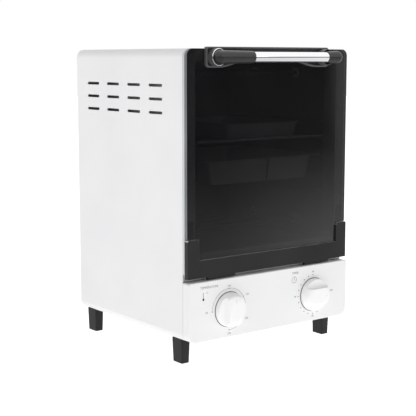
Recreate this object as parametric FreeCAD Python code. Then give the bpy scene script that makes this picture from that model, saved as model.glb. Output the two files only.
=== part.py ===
"""Benchtop dry-heat sterilizer: an upright steel cabinet with a drop-down glass door.

Millimetres, +Z up, +X to the right of someone facing the door, -Y towards them.
The origin is under the centre of the overall footprint, on the surface that the feet stand on.
Inside the functions a place is given as x, depth and height: depth runs back from the
cabinet's front edge, and height runs up from the cabinet's underside.
"""
import FreeCAD, Part
import math
import os

Vector = FreeCAD.Vector

# ---- driving dimensions ----
cabinet_width = 245.0
cabinet_depth = 224.0
cabinet_height = 330.0
corner_radius = 10.0
sheet = 1.0                 # cabinet and chamber sheet steel
foot_height = 29.0

panel_height = 69.5
panel_front = -12.4         # depth of the control panel's face
knob_spacing = 131.0        # temperature knob to timer knob
knob_height = 33.2
knob_radius = 20.0

glass_front = -7.6
glass_back = -3.9
rail_front = -9.8
rail_bottom = 73.6
rail_top = 94.0
upright_top = 118.0
upright_inner = 105.5
door_half_width = 122.4
glass_half_width = 121.6
frame_face = -3.6           # front of the steel frame behind the glass
frame_bottom = 78.6         # high enough to clear the rail's heel as the door swings

hinge_depth = -5.8
hinge_height = 76.0
pin_radius = 1.2
curl_radius = 2.3            # outside of the hinge bracket's curl
rail_skin = 1.4              # front wall left over the hinge brackets
running_clearance = 0.05
body_gap = 0.3              # between bodies that move past each other

chamber_half_width = 99.6
chamber_floor_height = 99.0
chamber_roof_height = 319.0
chamber_back_depth = 198.0
mouth_half_width = 107.3     # where the funnel meets the frame's face
opening_half_width = 98.5
opening_bottom = 101.0
opening_top = 317.0

rib_pitch = 21.7
first_rib_top = 158.3
rib_count = 5
rib_height = 4.0
rib_reach = 5.6
pan_rib = 2                 # which rib the drip pan hangs on, counted from 0
rack_rib = 3

handle_depth = -23.2
handle_height = 320.5
handle_dome_x = 88.0
tube_radius = 6.0
sleeve_joint_radius = 6.8
sleeve_dome_radius = 7.6
tube_left = -41.0           # where the bare tube starts and ends
tube_right = 72.0
mount_left = -97.5
mount_right = 87.5
mount_front = -11.5
mount_top = 332.0

link_pin_depth = 1.0
link_pin_height = 117.0
link_length = 80.0
link_x = 115.8              # inner face of the link arm
link_slot_x = (109.5, 119.5)
link_slot_heights = (110.0, 138.0)
ear_x = (112.2, 115.2)
bracket_x = (109.0, 119.0)
bracket_clearance = 0.4     # beside and above the bracket, in the rail's notch
hinge_pin_x = (100.0, 121.5)
stop_x = (54.0, 94.0)
stop_bottom = 70.4

gland_reach = 12.0
gland_x = -82.0
gland_height = 34.0
cord_radius = 3.6

# ---- row frame ----
handle_reach = sleeve_dome_radius - handle_depth
front_y = (handle_reach - cabinet_depth - gland_reach) / 2

half_width = cabinet_width / 2
temperature_x = -knob_spacing / 2
timer_x = knob_spacing / 2

parts = {}


def point(x, depth, height):
    """A place in the row frame."""
    return Vector(x, front_y + depth, foot_height + height)


def block(xs, depths, heights):
    """A box between two values of x, of depth and of height."""
    size = [high - low for low, high in (xs, depths, heights)]
    return Part.makeBox(*size, point(xs[0], depths[0], heights[0]))


def on_side(side, xs):
    """A range of x measured from the middle, placed on the left (-1) or the right (1)."""
    return sorted((side * xs[0], side * xs[1]))


def rod_x(x0, x1, depth, height, radius):
    """A round rod along X."""
    return Part.makeCylinder(radius, x1 - x0, point(x0, depth, height), Vector(1, 0, 0))


def rod_y(x, depth0, depth1, height, radius):
    """A round rod along Y."""
    return Part.makeCylinder(radius, depth1 - depth0, point(x, depth0, height), Vector(0, 1, 0))


def rod_z(x, depth, height0, height1, radius):
    """A round rod along Z."""
    return Part.makeCylinder(radius, height1 - height0, point(x, depth, height0), Vector(0, 0, 1))


def prism_y(outline, depth0, depth1):
    """A closed wire in the plane depth 0, pushed out between two depths."""
    solid = Part.Face(outline).extrude(Vector(0, depth1 - depth0, 0))
    solid.translate(Vector(0, depth0, 0))
    return solid


def rounded_outline(x0, x1, height0, height1, radii):
    """A rectangle in the plane depth 0. Radii run bottom left, bottom right, top right, top left."""
    corners = [(x0, height0, 1, 1), (x1, height0, -1, 1), (x1, height1, -1, -1), (x0, height1, 1, -1)]
    starts = []
    edges = []
    for index, ((x, height, sx, sz), radius) in enumerate(zip(corners, radii)):
        along_x = point(x + sx * radius, 0, height)
        along_z = point(x, 0, height + sz * radius)
        bend = radius * (1 - math.sqrt(0.5))
        middle = point(x + sx * bend, 0, height + sz * bend)
        first, last = (along_z, along_x) if index % 2 == 0 else (along_x, along_z)
        starts.append((first, last))
        if radius > 0:
            edges.append(Part.Arc(first, middle, last).toShape())
    for index in range(4):
        end = starts[index][1]
        start = starts[(index + 1) % 4][0]
        edges.append(Part.LineSegment(end, start).toShape())
    return Part.Wire(Part.__sortEdges__(edges))


def rounded_plate(x0, x1, height0, height1, radii, depth0, depth1):
    """A plate across the cabinet with rounded corners."""
    return prism_y(rounded_outline(x0, x1, height0, height1, radii), depth0, depth1)


def slot_through_x(x0, x1, depth0, depth1, height, width):
    """A round-ended slot cutter along X, long in depth."""
    radius = width / 2
    middle = block((x0, x1), (depth0 + radius, depth1 - radius), (height - radius, height + radius))
    ends = [rod_x(x0, x1, depth, height, radius) for depth in (depth0 + radius, depth1 - radius)]
    return middle.fuse(ends).removeSplitter()


def slot_through_y(x0, x1, depth0, depth1, height, width):
    """A round-ended slot cutter along Y, long in x."""
    radius = width / 2
    middle = block((x0 + radius, x1 - radius), (depth0, depth1), (height - radius, height + radius))
    ends = [rod_y(x, depth0, depth1, height, radius) for x in (x0 + radius, x1 - radius)]
    return middle.fuse(ends).removeSplitter()


def mirrored(shape):
    """The same shape on the other side of the cabinet."""
    return shape.mirror(Vector(0, 0, 0), Vector(1, 0, 0))


def both_sides(name, shape):
    """Keep a right-hand piece and its mirror image as two nodes."""
    parts[name + "_right"] = shape
    parts[name + "_left"] = mirrored(shape)


def join(shapes):
    """One solid from shapes that touch or overlap."""
    return shapes[0].fuse(shapes[1:]).removeSplitter()


def bent_tube(route, radius, bend):
    """A round tube along straight runs joined by tangent arcs of one bend radius."""
    edges = []
    start = route[0]
    for before, corner, after in zip(route, route[1:], route[2:]):
        into = (corner - before).normalize()
        out = (after - corner).normalize()
        turn = into.getAngle(out)
        cut = bend * math.tan(turn / 2)
        arc_start = corner - into * cut
        arc_end = corner + out * cut
        inward = (out - into).normalize()
        middle = corner + inward * (bend / math.cos(turn / 2) - bend)
        edges.append(Part.LineSegment(start, arc_start).toShape())
        edges.append(Part.Arc(arc_start, middle, arc_end).toShape())
        start = arc_end
    edges.append(Part.LineSegment(start, route[-1]).toShape())
    path = Part.Wire(edges)
    circle = Part.makeCircle(radius, route[0], route[1] - route[0])
    return path.makePipeShell([Part.Wire(circle)], True, False)


# ---- cabinet ----
vent_rows = (258.0, 273.5, 289.0)
vent_first_depth = 38.0
vent_pitch = 44.7
vent_length = 27.0
vent_width = 3.3
upper_back_slots = 232.0
lower_back_slots = 84.0
back_slot_pitch = 9.0
bottom_flange = 26.0


def outer_shell():
    """Top, sides and turned-in bottom flanges, bent from one sheet."""
    radii = [corner_radius] * 4
    inner_radii = [corner_radius - sheet] * 4
    shell = rounded_plate(-half_width, half_width, 0, cabinet_height, radii, 0, cabinet_depth)
    hollow = rounded_plate(-half_width + sheet, half_width - sheet, sheet, cabinet_height - sheet,
                           inner_radii, -1, cabinet_depth + 1)
    gap = half_width - bottom_flange
    floor_gap = block((-gap, gap), (-1, cabinet_depth + 1), (-1, sheet + 1))
    cutters = [floor_gap]
    for row in vent_rows:
        for column in range(4):
            depth = vent_first_depth + column * vent_pitch
            cutters.append(slot_through_x(-half_width - 1, half_width + 1, depth, depth + vent_length,
                                          row, vent_width))
    for x, depth in foot_places():
        cutters.append(rod_z(x, depth, -1, sheet + 1, foot_screw_radius))
    return shell.cut(hollow).cut(cutters)


def base_plate():
    """Galvanised plate that lies on the shell's bottom flanges and takes the feet."""
    inset = half_width - corner_radius - 0.5
    front, back = 4.0, 220.0
    plate = block((-inset, inset), (front, back), (sheet, 2 * sheet))
    lip_height = 8.0
    lips = [block((-80, 80), depths, (sheet, lip_height)) for depths in ((14, 15), (211, 212))]
    cutters = [rod_z(x, depth, 0, 3, foot_screw_radius) for x, depth in foot_places()]
    first_slot, slot_pitch, slot_width = 62.0, 18.0, 4.0
    for row in range(6):
        depth = first_slot + row * slot_pitch
        for side in (-1, 1):
            cutters.append(block(on_side(side, (14, 70)), (depth, depth + slot_width), (0, 3)))
    return join([plate] + lips).cut(cutters)


def back_cover():
    """Flat cover inside the shell's rear edge, with vents and the cord hole."""
    inset = half_width - sheet - 0.2
    radii = [corner_radius - sheet] * 4
    back, front = cabinet_depth - 0.2, cabinet_depth - 1.2
    plate = rounded_plate(-inset, inset, sheet + 0.2, cabinet_height - sheet - 0.2, radii, front, back)
    rim = rounded_plate(-inset, inset, sheet + 0.2, cabinet_height - sheet - 0.2, radii, front - 9, front)
    base_gap = block((-half_width, half_width), (front - 10, front), (0, 2 * sheet + 0.3))
    hollow_radii = [corner_radius - 2 * sheet] * 4
    hollow = rounded_plate(-inset + 1, inset - 1, sheet + 1.2, cabinet_height - sheet - 1.2, hollow_radii,
                           front - 10, front)
    cutters = [rod_y(gland_x, front - 1, back + 1, gland_height, gland_hole_radius)]
    for centre in (-48, 48):
        for row in range(7):
            height = upper_back_slots + row * back_slot_pitch
            cutters.append(slot_through_y(centre - 24, centre + 24, front - 1, back + 1, height, vent_width))
    for centre in (-60, 0, 60):
        for height in (lower_back_slots, lower_back_slots + back_slot_pitch):
            cutters.append(slot_through_y(centre - 18, centre + 18, front - 1, back + 1, height, vent_width))
    return join([plate, rim.cut([hollow, base_gap])]).cut(cutters)


def back_screws():
    """Pan-head screws round the back cover, one group of solids."""
    places = [(x, height) for x in (-112, 0, 112) for height in (12, cabinet_height - 12)]
    places += [(x, 165) for x in (-112, 112)]
    return Part.makeCompound([screw_y(x, cabinet_depth - 0.2, height, 3.0, 1.6) for x, height in places])


def screw_y(x, depth, height, radius, head):
    """A screw head that stands back from a depth, with a cross recess."""
    disc = rod_y(x, depth, depth + head, height, radius)
    half_slot = 0.4
    reach = radius * 0.65
    depths = (depth + head * 0.45, depth + head + 1)
    cross = [block((x - reach, x + reach), depths, (height - half_slot, height + half_slot)),
             block((x - half_slot, x + half_slot), depths, (height - reach, height + reach))]
    return disc.cut(cross)


# ---- feet ----
foot_outer = 116.0
foot_width = 12.0
foot_length = 19.0
foot_taper = 0.8
foot_screw_radius = 2.1
foot_depths = (11.2, 199.0)


def foot_places():
    """Centre x and depth of the four feet."""
    centre = foot_outer - foot_width / 2
    return [(side * centre, depth + foot_length / 2) for depth in foot_depths for side in (-1, 1)]


def foot(x, depth):
    """A square post that narrows a little towards the floor, drilled for its screw."""
    def section(height, shrink):
        half_x = foot_width / 2 - shrink
        half_y = foot_length / 2 - shrink
        corners = [(-half_x, -half_y), (half_x, -half_y), (half_x, half_y), (-half_x, half_y)]
        points = [point(x + dx, depth + dy, height) for dx, dy in corners]
        return Part.makePolygon(points + points[:1])
    post = Part.makeLoft([section(0, 0), section(-foot_height, foot_taper)], True, True)
    corners = [edge for edge in post.Edges if edge.BoundBox.ZLength > foot_height - 1]
    post = post.makeFillet(1.0, corners)
    return post.cut(rod_z(x, depth, -foot_screw_depth, 1, foot_screw_radius - 0.1))


foot_screw_depth = 14.0


def foot_screws():
    """Screws from the base plate down into the feet, one group of solids."""
    screws = []
    for x, depth in foot_places():
        shank = rod_z(x, depth, -foot_screw_depth + 2, 2 * sheet, foot_screw_radius - 0.1)
        head = rod_z(x, depth, 2 * sheet, 2 * sheet + 2.2, 3.6)
        screws.append(join([shank, head]))
    return Part.makeCompound(screws)


# ---- front frame, panel and switch plate ----
mouth_radius = 6.0
funnel_back = 8.0           # the chamber's side walls start here


def funnel(grow, depth0, depth1):
    """Space inside the mouth: its sides close in from the frame's face to the chamber's width."""
    def outline(half, depth):
        low, high = opening_bottom - grow, opening_top + grow
        wire = rounded_outline(-half - grow, half + grow, low, high, [mouth_radius + grow] * 4)
        wire.translate(Vector(0, depth, 0))
        return wire
    return Part.makeLoft([outline(mouth_half_width, depth0), outline(opening_half_width, depth1)], True, True)


def front_frame():
    """Steel flange round the chamber opening, with an outer return, a funnel and link slots."""
    back = frame_face + sheet
    radii = [0, 0, corner_radius, corner_radius]
    face = rounded_plate(-half_width, half_width, frame_bottom, cabinet_height, radii, frame_face, back)
    inner_radii = [0, 0, corner_radius - sheet, corner_radius - sheet]
    rim = rounded_plate(-half_width, half_width, frame_bottom, cabinet_height, radii, back, -0.1)
    rim_hollow = rounded_plate(-half_width + sheet, half_width - sheet, frame_bottom + sheet,
                               cabinet_height - sheet, inner_radii, back, 1)
    collar = funnel(sheet, frame_face, funnel_back)
    mouth = funnel(0, frame_face, funnel_back)
    apron = block((-half_width + 2, half_width - 2), (0.2, 1.2), (panel_height + 0.3, frame_bottom + sheet))
    shelf = block((-half_width + 2, half_width - 2), (-0.1, 1.2), (frame_bottom, frame_bottom + sheet))
    frame = join([face, rim.cut(rim_hollow), collar, shelf, apron]).cut(mouth)
    slots = [block(on_side(side, link_slot_x), (frame_face - 1, back + 1), link_slot_heights)
             for side in (-1, 1)]
    return frame.cut(slots)


def control_panel():
    """White cap over the switch compartment, with side returns and holes for both shafts."""
    wall = 1.6
    back = -0.3
    radii = [corner_radius, corner_radius, 2.5, 2.5]
    inner_radii = [corner_radius - wall, corner_radius - wall, 1, 1]
    outer = rounded_plate(-half_width, half_width, 0, panel_height, radii, panel_front, back)
    front_edges = [edge for edge in outer.Edges
                   if edge.BoundBox.YMax < front_y + panel_front + 0.01]
    outer = outer.makeFillet(1.2, front_edges)
    hollow = rounded_plate(-half_width + wall, half_width - wall, wall, panel_height - wall,
                           inner_radii, panel_front + wall, 1)
    holes = [rod_y(x, panel_front - 1, 0, knob_height, neck_hole_radius) for x in (temperature_x, timer_x)]
    return outer.cut(hollow).cut(holes)


def switch_plate():
    """Steel plate behind the panel that carries the thermostat and the timer."""
    half = half_width - corner_radius
    plate = block((-half, half), (-1.6, -0.6), (2.2, 67))
    foot = block((-half, half), (-1.6, 12), (2.2, 3.2))
    holes = [rod_y(x, -3, 1, knob_height, neck_hole_radius) for x in (temperature_x, timer_x)]
    return join([plate, foot]).cut(holes)


def switch_plate_screws():
    """Two screws for the thermostat and two for the timer, one group of solids."""
    screws = []
    for centre in (temperature_x, timer_x):
        for x in (centre - 14, centre + 14):
            screws.append(rod_y(x, -3.2, -1.6, knob_height, 2.8))
    return Part.makeCompound(screws)


# ---- chamber ----
def rib_top(index):
    """Height of a rack rib's upper edge, counted from the lowest."""
    return first_rib_top + index * rib_pitch


def chamber_side():
    """Right wall of the chamber with its pressed ribs and heater holes."""
    inner = chamber_half_width
    shapes = [block((inner, inner + sheet), (funnel_back, chamber_back_depth),
                    (chamber_floor_height, chamber_roof_height))]
    for index in range(rib_count):
        top = rib_top(index)
        reach = inner - rib_reach
        low = top - rib_height
        profile = [(inner, low - 1.5), (reach + 1, low + 1), (reach, low + 2),
                   (reach, top - 1), (reach + 1, top), (inner, top)]
        points = [point(x, 10, height) for x, height in profile]
        wire = Part.makePolygon(points + points[:1])
        shapes.append(Part.Face(wire).extrude(Vector(0, chamber_back_depth - 18, 0)))
    holes = [rod_x(inner - 1, inner + 2, depth, height, insulator_radius + running_clearance)
             for depth, height in heater_places()]
    return join(shapes).cut(holes)


def chamber_back():
    """Rear wall between the side walls, with a shallow pressed field that stiffens it."""
    inner = chamber_half_width
    wall = block((-inner, inner), (chamber_back_depth - sheet, chamber_back_depth),
                 (chamber_floor_height, chamber_roof_height))
    face = chamber_back_depth - sheet
    field = rounded_plate(-70, 70, 150, 290, [12] * 4, face - 2, face)
    return join([wall, field])


def chamber_roof():
    """Top of the chamber."""
    outer = chamber_half_width + sheet
    heights = (chamber_roof_height, chamber_roof_height + sheet)
    return block((-outer, outer), (0, chamber_back_depth), heights)


def chamber_floor():
    """Bottom of the chamber."""
    outer = chamber_half_width + sheet
    heights = (chamber_floor_height - sheet, chamber_floor_height)
    return block((-outer, outer), (0, chamber_back_depth), heights)


# ---- heaters ----
heater_radius = 3.2
heater_half_length = 106.0
insulator_radius = 6.0
heater_depths = (60.0, 140.0)
upper_heater_height = 302.0
lower_heater_height = 117.0


def heater_places():
    """Depth and height of the four heater tubes."""
    heights = (upper_heater_height, lower_heater_height)
    return [(depth, height) for height in heights for depth in heater_depths]


def heater_tube(depth, height):
    """A straight steel heater tube with a terminal stud at each end."""
    tube = rod_x(-heater_half_length, heater_half_length, depth, height, heater_radius)
    stud = rod_x(-heater_half_length - 3, heater_half_length + 3, depth, height, 1.6)
    return join([tube, stud])


def heater_insulators():
    """Ceramic bushes that carry the heaters in the side walls, one group of solids."""
    bushes = []
    for depth, height in heater_places():
        for side in (-1, 1):
            wall_back = chamber_half_width + sheet
            low, high = on_side(side, (chamber_half_width - 2.5, wall_back + 2.6))
            barrel = rod_x(low, high, depth, height, insulator_radius)
            collar_low, collar_high = on_side(side, (wall_back, wall_back + 1.8))
            collar = rod_x(collar_low, collar_high, depth, height, insulator_radius + 2.2)
            bore = rod_x(low - 1, high + 1, depth, height, heater_radius)
            bushes.append(join([barrel, collar]).cut(bore))
    return Part.makeCompound(bushes)


# ---- what stands in the chamber ----
rack_rod_radius = 1.8
rack_half_width = 97.0
rack_front = 4.2
rack_back = 186.0
rack_wire_radius = 1.1
rack_wire_count = 15


def wire_rack():
    """A closed rod frame with thin wires welded on top of it."""
    height = rib_top(rack_rib) + body_gap + rack_rod_radius
    half = rack_half_width - rack_rod_radius
    front = rack_front + rack_rod_radius
    back = rack_back - rack_rod_radius
    rods = [rod_y(side * half, front, back, height, rack_rod_radius) for side in (-1, 1)]
    rods += [rod_x(-half, half, depth, height, rack_rod_radius) for depth in (front, back)]
    for x in (-half, half):
        for depth in (front, back):
            rods.append(Part.makeSphere(rack_rod_radius, point(x, depth, height)))
    for depth in (front + 45, back - 45):
        rods.append(rod_x(-half, half, depth, height - 0.4, rack_wire_radius + 0.3))
    spacing = 2 * half / (rack_wire_count + 1)
    for index in range(rack_wire_count):
        x = -half + (index + 1) * spacing
        rods.append(rod_y(x, front, back, height + 0.9, rack_wire_radius))
    return join(rods)


def dished_tray(half, front, back, top, depth, side_slope, end_slope, side_flange, end_flange, centre=0.0):
    """A pressed tray with sloping walls and a flange. Half is its half width inside the flange."""
    wall = 0.8

    def section(height, slope, shrink):
        across = half - slope * side_slope - shrink
        y0 = front + end_flange + slope * end_slope + shrink
        y1 = back - end_flange - slope * end_slope - shrink
        return rounded_section(centre - across, centre + across, y0, y1, height, 10 - slope * 3 - shrink)
    outer = Part.makeLoft([section(top, 0, 0), section(top - depth, 1, 0)], True, True)
    inner = Part.makeLoft([section(top, 0, wall), section(top - depth + wall, 1, wall)], True, True)
    across = half + side_flange
    rim = rounded_section(centre - across, centre + across, front, back, top - wall, 12)
    lip = Part.Face(rim).extrude(Vector(0, 0, wall))
    mouth = Part.Face(section(top - wall - 1, 0, wall)).extrude(Vector(0, 0, 3))
    return join([outer.cut(inner), lip.cut(mouth)])


def rounded_section(x0, x1, y0, y1, height, radius):
    """A level rectangle with rounded corners, as a closed wire."""
    corners = [(x0, y0, 1, 1), (x1, y0, -1, 1), (x1, y1, -1, -1), (x0, y1, 1, -1)]
    edges = []
    ends = []
    for index, (x, y, sx, sy) in enumerate(corners):
        along_x = point(x + sx * radius, y, height)
        along_y = point(x, y + sy * radius, height)
        bend = radius * (1 - math.sqrt(0.5))
        middle = point(x + sx * bend, y + sy * bend, height)
        first, last = (along_y, along_x) if index % 2 == 0 else (along_x, along_y)
        edges.append(Part.Arc(first, middle, last).toShape())
        ends.append((first, last))
        if index:
            edges.insert(-1, Part.LineSegment(ends[index - 1][1], first).toShape())
    edges.append(Part.LineSegment(ends[3][1], ends[0][0]).toShape())
    return Part.Wire(edges)


def instrument_tray():
    """Shallow stainless tray that stands on the rack."""
    rack_top = rib_top(rack_rib) + body_gap + rack_rod_radius + 0.9 + rack_wire_radius
    tray_depth = 16.6
    return dished_tray(56, 9, 164, rack_top + tray_depth, tray_depth, 4, 4, 3, 3, centre=8.0)


def drip_pan():
    """Deep pan whose flange hangs on a pair of ribs, with an upright bead in its front wall."""
    top = rib_top(pan_rib) + body_gap + 0.8
    pan_depth = 27.5
    front = 3.6
    end_flange = 2.0
    end_slope = 3.0
    bead_x = 7.0
    pan = dished_tray(80, front, 176, top, pan_depth, 6, end_slope, 16, end_flange)
    foot = point(bead_x, front + end_flange + end_slope, top - pan_depth + 1.5)
    head = point(bead_x, front + end_flange, top - 1.5)
    bead = Part.makeCylinder(1.3, (head - foot).Length, foot, head - foot)
    return join([pan, bead])


# ---- door ----
def door_glass():
    """Tempered sheet with rounded top corners and stepped lower corners behind the rail."""
    step_inset = upright_inner - 0.2
    step_height = upright_top + body_gap
    upper = rounded_plate(-glass_half_width, glass_half_width, step_height, cabinet_height,
                          [1, 1, 8, 8], glass_front, glass_back)
    lower = block((-step_inset, step_inset), (glass_front, glass_back), (88.2, step_height + 2))
    holes = [rod_y(x, glass_front - 1, glass_back + 1, handle_screw_height, handle_screw_radius + 0.2)
             for x in handle_screw_places()]
    seats = [screw_cone(x, 0.2) for x in handle_screw_places()]
    return join([upper, lower]).cut(holes + seats)


def door_rail():
    """Black moulding: a bottom rail, two uprights, two stop blocks and the link ears."""
    wide = door_half_width
    inner = upright_inner
    rail = block((-wide, wide), (rail_front, glass_front), (rail_bottom, rail_top))
    thick = block((-wide, wide), (rail_front, glass_back), (rail_bottom, 88))
    uprights = [block(on_side(side, (inner, wide)), (rail_front, glass_back), (rail_bottom, upright_top))
                for side in (-1, 1)]
    moulding = join([rail, thick] + uprights)
    moulding = moulding.makeFillet(5.0, long_edges_at(moulding, inner, upright_top))
    moulding = moulding.makeFillet(2.0, long_edges_at(moulding, wide, upright_top))
    blocks = [stop_block(side) for side in (-1, 1)]
    ears = [link_ear(side) for side in (-1, 1)]
    moulding = join([moulding] + blocks + ears)
    cutters = []
    for side in (-1, 1):
        notch = on_side(side, (bracket_x[0] - bracket_clearance, bracket_x[1] + bracket_clearance))
        notch_top = hinge_height + curl_radius + bracket_clearance + 0.2
        cutters.append(block(notch, (rail_front + rail_skin, glass_back + 1), (rail_bottom - 1, notch_top)))
        pin = on_side(side, hinge_pin_x)
        cutters.append(rod_x(pin[0], pin[1], hinge_depth, hinge_height, pin_radius))
        rivet = on_side(side, (ear_x[0] - 1, ear_x[1] + 1))
        cutters.append(rod_x(rivet[0], rivet[1], link_pin_depth, link_pin_height, pin_radius))
    return moulding.cut(cutters)


def long_edges_at(shape, x, height):
    """Edges that run in depth at plus or minus x and one height."""
    found = []
    for edge in shape.Edges:
        box = edge.BoundBox
        level = box.ZLength < 0.01 and abs(box.ZMin - foot_height - height) < 0.01
        upright = box.XLength < 0.01 and abs(abs(box.XMin) - x) < 0.01
        if level and upright:
            found.append(edge)
    return found


def stop_block(side):
    """A block under the rail that meets the apron when the door is fully open."""
    front = rail_front + 0.4
    bar = block(on_side(side, stop_x), (front, hinge_depth), (stop_bottom, rail_bottom + 1))
    round_edges = [edge for edge in bar.Edges
                   if edge.BoundBox.XLength > 1 and edge.BoundBox.ZMax < foot_height + stop_bottom + 0.1
                   and edge.BoundBox.YMax < front_y + front + 0.1]
    return bar.makeFillet(2.4, round_edges)


def link_ear(side):
    """An ear behind the upright that holds the door link's pin."""
    xs = on_side(side, ear_x)
    radius = 4.0
    root = block(xs, (glass_back - 1, glass_back), (link_pin_height - radius, upright_top - 1))
    arm = block(xs, (glass_back, link_pin_depth), (link_pin_height - radius, link_pin_height + radius))
    tip = rod_x(xs[0], xs[1], link_pin_depth, link_pin_height, radius)
    return join([root, arm, tip])


def hinge_bracket():
    """Right-hand steel bracket: a curl round the pin, a tongue and a tab on the apron."""
    apron_face = 0.2
    tongue_top = hinge_height - curl_radius + 1.1
    curl = rod_x(bracket_x[0], bracket_x[1], hinge_depth, hinge_height, curl_radius)
    tongue = block(bracket_x, (hinge_depth, apron_face), (hinge_height - curl_radius, tongue_top))
    tab = block((bracket_x[0] - 3, bracket_x[1] + 1), (apron_face - 1.1, apron_face), (70.2, tongue_top))
    bore_radius = pin_radius + running_clearance
    bore = rod_x(bracket_x[0] - 1, bracket_x[1] + 1, hinge_depth, hinge_height, bore_radius)
    return join([curl, tongue, tab]).cut(bore)


def hinge_pin():
    """Right-hand hinge pin, held in the rail on both sides of the bracket."""
    return rod_x(hinge_pin_x[0], hinge_pin_x[1], hinge_depth, hinge_height, pin_radius)


def door_link():
    """Right-hand link arm from the door's ear back into the side cavity."""
    xs = (link_x, link_x + 1.5)
    back = link_pin_depth + link_length
    bar = block(xs, (link_pin_depth, back), (link_pin_height - 3.5, link_pin_height + 3.5))
    ends = [rod_x(xs[0], xs[1], depth, link_pin_height, 3.5) for depth in (link_pin_depth, back)]
    holes = [rod_x(xs[0] - 1, xs[1] + 1, link_pin_depth, link_pin_height, pin_radius + running_clearance),
             rod_x(xs[0] - 1, xs[1] + 1, back, link_pin_height, 1.4)]
    return join([bar] + ends).cut(holes)


def link_rivet():
    """Right-hand rivet that joins the link to the ear."""
    shank = rod_x(ear_x[0], link_x + 2.4, link_pin_depth, link_pin_height, pin_radius)
    head = rod_x(link_x + 1.9, link_x + 2.8, link_pin_depth, link_pin_height, 3.0)
    return join([shank, head])


spring_coil_radius = 3.0
spring_wire_radius = 0.55
spring_pitch = 2.6
spring_turns = 22


def spring_line():
    """Start and end of the door spring's centre line, from the link to its anchor."""
    start = point(link_x + 0.75, link_pin_depth + link_length + 8, link_pin_height - 4)
    end = point(link_x + 0.75, 176, 72)
    return start, end


def door_spring():
    """Right-hand tension spring: a coil with a straight tail at each end."""
    start, end = spring_line()
    axis = (end - start).normalize()
    length = spring_pitch * spring_turns
    middle = (start + end) * 0.5
    helix = Part.makeHelix(spring_pitch, length, spring_coil_radius)
    circle = Part.makeCircle(spring_wire_radius, Vector(spring_coil_radius, 0, 0), Vector(0, 1, 0))
    coil = Part.Wire(helix).makePipeShell([Part.Wire(circle)], True, True)
    turn = FreeCAD.Rotation(Vector(0, 0, 1), axis)
    coil.Placement = FreeCAD.Placement(middle - axis * (length / 2), turn)
    side = turn.multVec(Vector(spring_coil_radius, 0, 0))
    shapes = [coil]
    for origin, far in ((middle - axis * (length / 2), start), (middle + axis * (length / 2), end)):
        root = origin + side
        direction = far - origin
        tail = Part.makeCylinder(spring_wire_radius, direction.Length, root, direction)
        shapes.append(tail)
        shapes.append(Part.makeSphere(spring_wire_radius, root))
    return join(shapes)


# ---- handle ----
handle_screw_height = 321.0
handle_screw_radius = 1.4
lobe_bottom = 309.0
arch_height = 315.6
lobe_flat = 19.0
arch_run = 38.0


def handle_screw_places():
    """X of the two handle screws."""
    return (mount_left + 15, mount_right - 15)


def handle_mount():
    """Black arched plate on the glass's top edge, with an arm to each sleeve."""
    plate = prism_y(mount_outline(), mount_front, glass_front)
    front_edges = [edge for edge in plate.Edges if edge.BoundBox.YMax < front_y + mount_front + 0.01]
    plate = plate.makeFillet(1.6, front_edges)
    cap = block((mount_left + 3, mount_right - 3), (glass_front - 0.5, glass_back),
                (cabinet_height + 0.15, mount_top - 0.2))
    arm_heights = (handle_height - 5, handle_height + 5)
    arms = [block((x - 6.5, x + 6.5), (handle_depth, glass_front - 0.5), arm_heights)
            for x in handle_screw_places()]
    sleeve_space = sleeve_envelope(running_clearance)
    bores = [rod_y(x, handle_depth - 1, glass_front + 1, handle_screw_height, handle_screw_radius)
             for x in handle_screw_places()]
    arms_cut = [arm.cut(sleeve_space) for arm in arms]
    return join([plate, cap] + arms_cut).cut(bores)


def mount_outline():
    """Closed outline of the plate: straight top, a hanging lobe at each end, an arch between."""
    lobe = 5.0
    top_radius = 3.0
    half = (mount_right - mount_left) / 2
    centre = (mount_left + mount_right) / 2
    bend = 1 - math.sqrt(0.5)

    def half_side(side):
        """Edges from the arch's middle to the top's middle on one side."""
        def place(across, height):
            return point(centre + side * across, 0, height)
        flat_end = half - lobe_flat
        arch_end = flat_end - arch_run
        curve = Part.BezierCurve()
        curve.setPoles([place(arch_end, arch_height), place(arch_end + arch_run * 0.3, arch_height),
                        place(flat_end - arch_run * 0.2, lobe_bottom), place(flat_end, lobe_bottom)])
        return [
            Part.LineSegment(place(0, arch_height), place(arch_end, arch_height)).toShape(),
            curve.toShape(),
            Part.LineSegment(place(flat_end, lobe_bottom), place(half - lobe, lobe_bottom)).toShape(),
            Part.Arc(place(half - lobe, lobe_bottom), place(half - lobe * bend, lobe_bottom + lobe * bend),
                     place(half, lobe_bottom + lobe)).toShape(),
            Part.LineSegment(place(half, lobe_bottom + lobe), place(half, mount_top - top_radius)).toShape(),
            Part.Arc(place(half, mount_top - top_radius),
                     place(half - top_radius * bend, mount_top - top_radius * bend),
                     place(half - top_radius, mount_top)).toShape(),
            Part.LineSegment(place(half - top_radius, mount_top), place(0, mount_top)).toShape(),
        ]
    return Part.Wire(Part.__sortEdges__(half_side(1) + half_side(-1)))


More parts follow.
